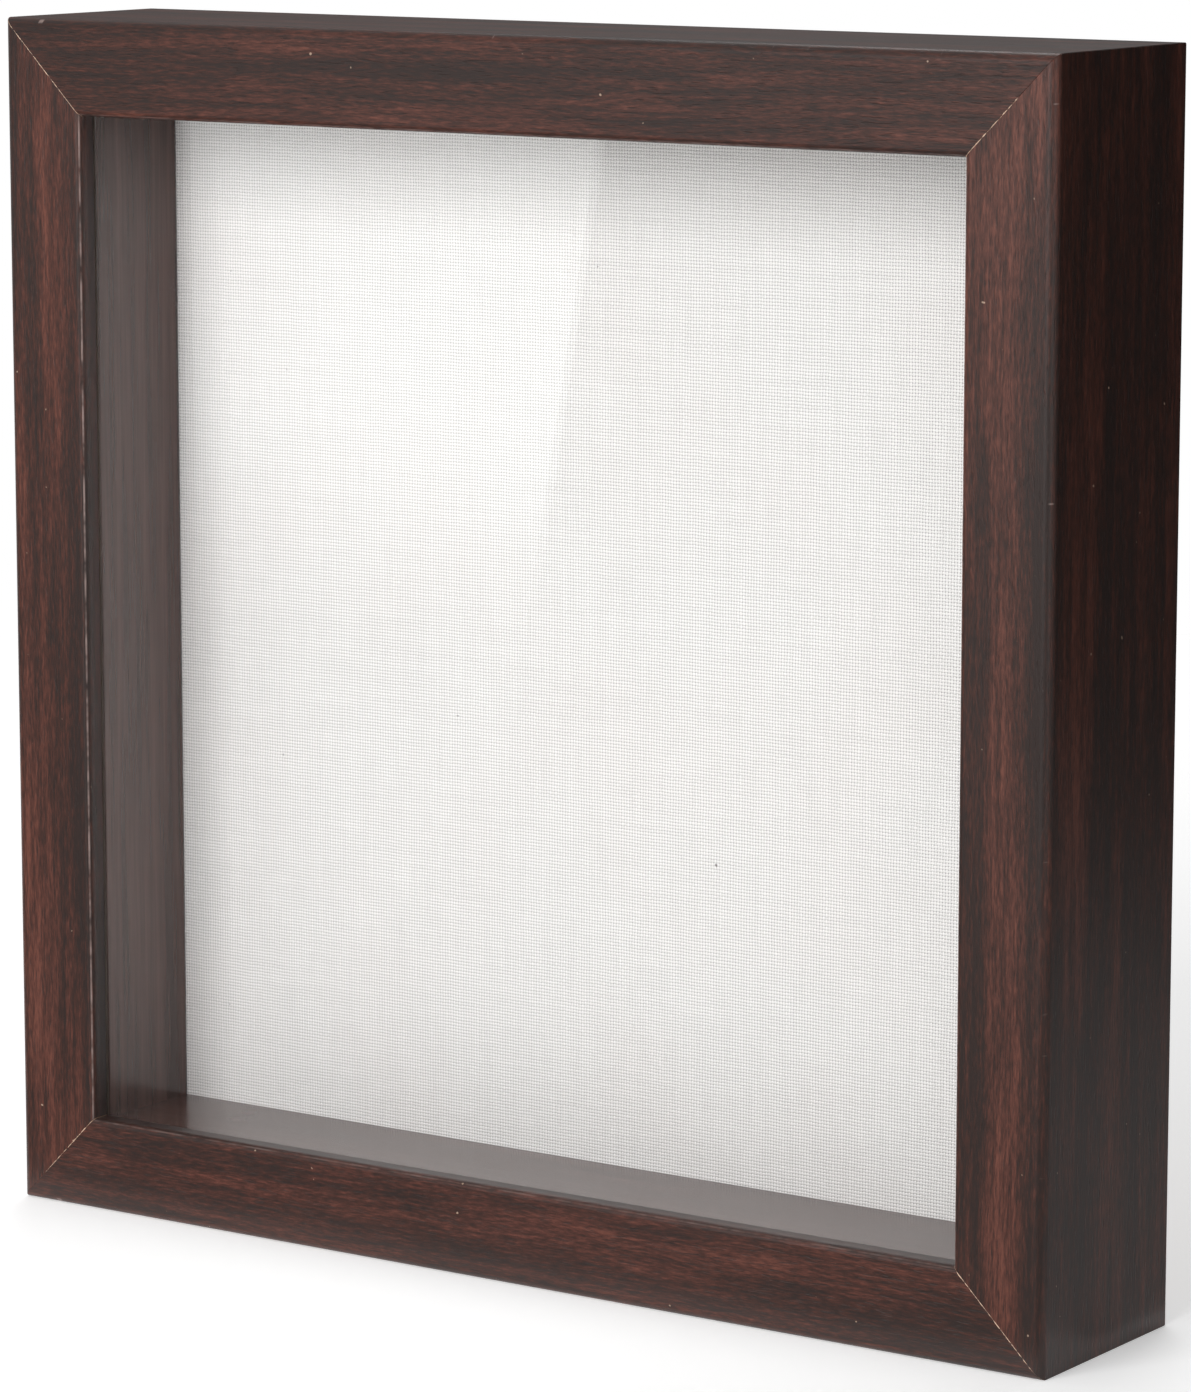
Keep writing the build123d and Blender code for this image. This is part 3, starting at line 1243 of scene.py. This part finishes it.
@dataclass
class Studio:
    """A white floor and backdrop, two soft lamps, cards for the reflections, and the camera.

    Args:
        eye: where the camera is.
        aim: the point that it looks at.
        lens: its focal length, in millimetres.
        heart: the point that the lamps look at.
        ambient: the strength of the room's even light.
        floor_size: the floor's width.
        cards: the cards that shape the reflections.
    """

    eye: Vector = field(default_factory=lambda: Vector((0.6123, -0.8839, 0.2874)))
    aim: Vector = field(default_factory=lambda: Vector((0.0216, -0.023, 0.1147)))
    heart: Vector = field(default_factory=lambda: Vector((0.0, 0.0, 0.117)))
    lens: float = 149.0
    ambient: float = 0.5
    floor_size: float = 2.4
    cards: tuple[Card, ...] = (
        Card(
            "front_flag",
            ((-1.2, -0.6, 0.9), (0.5, -0.6, 0.9), (0.5, -0.6, 0.0), (-1.2, -0.6, 0.0)),
            FlagCloth(-0.3, -0.2),
        ),
        Card(
            "floor_flag",
            ((-1.2, -0.6, 0.002), (0.5, -0.6, 0.002), (0.5, -0.03, 0.002), (-1.2, -0.03, 0.002)),
            FlagCloth(-0.3, -0.2),
        ),
        Card(
            "window_glow",
            (
                (-0.536, -0.595, 0.25),
                (-0.361, -0.595, 0.25),
                (-0.406, -0.595, 0.0),
                (-0.536, -0.595, 0.0),
            ),
            GlowCloth(1.25, 0.0, 0.09),
        ),
        Card(
            "edge_glow",
            ((0.82, -0.66, 0.0), (0.98, -0.46, 0.0), (0.98, -0.46, 0.4), (0.82, -0.66, 0.4)),
            GlowCloth(3.0, -0.3, -0.2),
        ),
        Card(
            "side_flag",
            ((0.12, 0.35, 0.0), (1.3, 0.35, 0.0), (1.3, 0.35, 0.9), (0.12, 0.35, 0.9)),
            FlagCloth(-0.1, -0.02),
        ),
        Card(
            "side_floor_flag",
            ((0.12, 0.0, 0.002), (0.9, 0.0, 0.002), (0.9, 0.35, 0.002), (0.12, 0.35, 0.002)),
            FlagCloth(-0.3, -0.2, 0.5),
        ),
        Card(
            "side_screen",
            ((0.45, -0.3, 0.0), (0.45, 0.9, 0.0), (0.45, 0.9, 0.8), (0.45, -0.3, 0.8)),
            FlagCloth(-0.3, -0.2),
            dims_room=True,
        ),
        Card(
            "back_glow",
            ((-1.9, 1.2, 0.1), (0.3, 1.2, 0.1), (0.3, 1.2, 1.2), (-1.9, 1.2, 1.2)),
            GlowCloth(0.12, -0.3, -0.2),
        ),
    )

    def build(self) -> None:
        """Set up the studio."""
        bpy.context.scene.view_settings.view_transform = "Standard"
        self._floor()
        self._world()
        self._lamp("key_lamp", Vector((-0.1, -1.35, 0.60)), 1.0, 20.0)
        self._lamp("back_fill", Vector((-0.45, 0.95, 1.5)), 0.8, 7.0)
        for card in self.cards:
            card.stand()
        self._camera()

    def _camera(self) -> None:
        """Stand the camera and look through it."""
        camera = bpy.data.objects.new("camera", bpy.data.cameras.new("camera"))
        bpy.context.scene.collection.objects.link(camera)
        camera.location = self.eye
        camera.rotation_euler = (self.aim - self.eye).to_track_quat("-Z", "Y").to_euler()
        camera.data.lens = self.lens
        camera.data.clip_start = 0.05
        bpy.context.scene.camera = camera

    def _floor(self) -> None:
        """Lay the floor."""
        bpy.ops.object.select_all(action="DESELECT")
        bpy.ops.mesh.primitive_plane_add(size=self.floor_size)
        floor = bpy.context.object
        floor.name = "floor"
        dress(floor, StudioFloor().material())

    def _world(self) -> None:
        """Light the room evenly, in front of a white backdrop."""
        world = bpy.data.worlds.new("studio_world")
        world.use_nodes = True
        tree = world.node_tree
        room = tree.nodes["Background"]
        room.inputs["Color"].default_value = (1.0, 1.0, 1.0, 1.0)
        room.inputs["Strength"].default_value = self.ambient
        backdrop = tree.nodes.new("ShaderNodeBackground")
        backdrop.inputs["Color"].default_value = (1.0, 1.0, 1.0, 1.0)
        backdrop.inputs["Strength"].default_value = 1.0
        path = tree.nodes.new("ShaderNodeLightPath")
        pick = tree.nodes.new("ShaderNodeMixShader")
        tree.links.new(path.outputs["Is Camera Ray"], pick.inputs[0])
        tree.links.new(room.outputs[0], pick.inputs[1])
        tree.links.new(backdrop.outputs[0], pick.inputs[2])
        tree.links.new(pick.outputs[0], tree.nodes["World Output"].inputs["Surface"])
        bpy.context.scene.world = world

    def _lamp(self, name: str, place: Vector, size: float, power: float) -> None:
        """Hang a soft square lamp that points at the box.

        Args:
            name: its name.
            place: where it hangs.
            size: its width.
            power: its power, in watts.
        """
        lamp = bpy.data.objects.new(name, bpy.data.lights.new(name, "AREA"))
        lamp.data.size = size
        lamp.data.energy = power
        lamp.location = place
        lamp.rotation_euler = (self.heart - place).to_track_quat("-Z", "Y").to_euler()
        bpy.context.scene.collection.objects.link(lamp)


def main() -> None:
    """Build the shadow box and its studio."""
    logging.basicConfig(level=logging.INFO, format="%(name)s: %(message)s")
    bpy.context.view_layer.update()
    for assembly in (MouldingFrame(), Window(), CoveredBack(), Hardware(), Studio()):
        log.info("building %s", type(assembly).__name__)
        assembly.build()


if __name__ == "__main__":
    main()
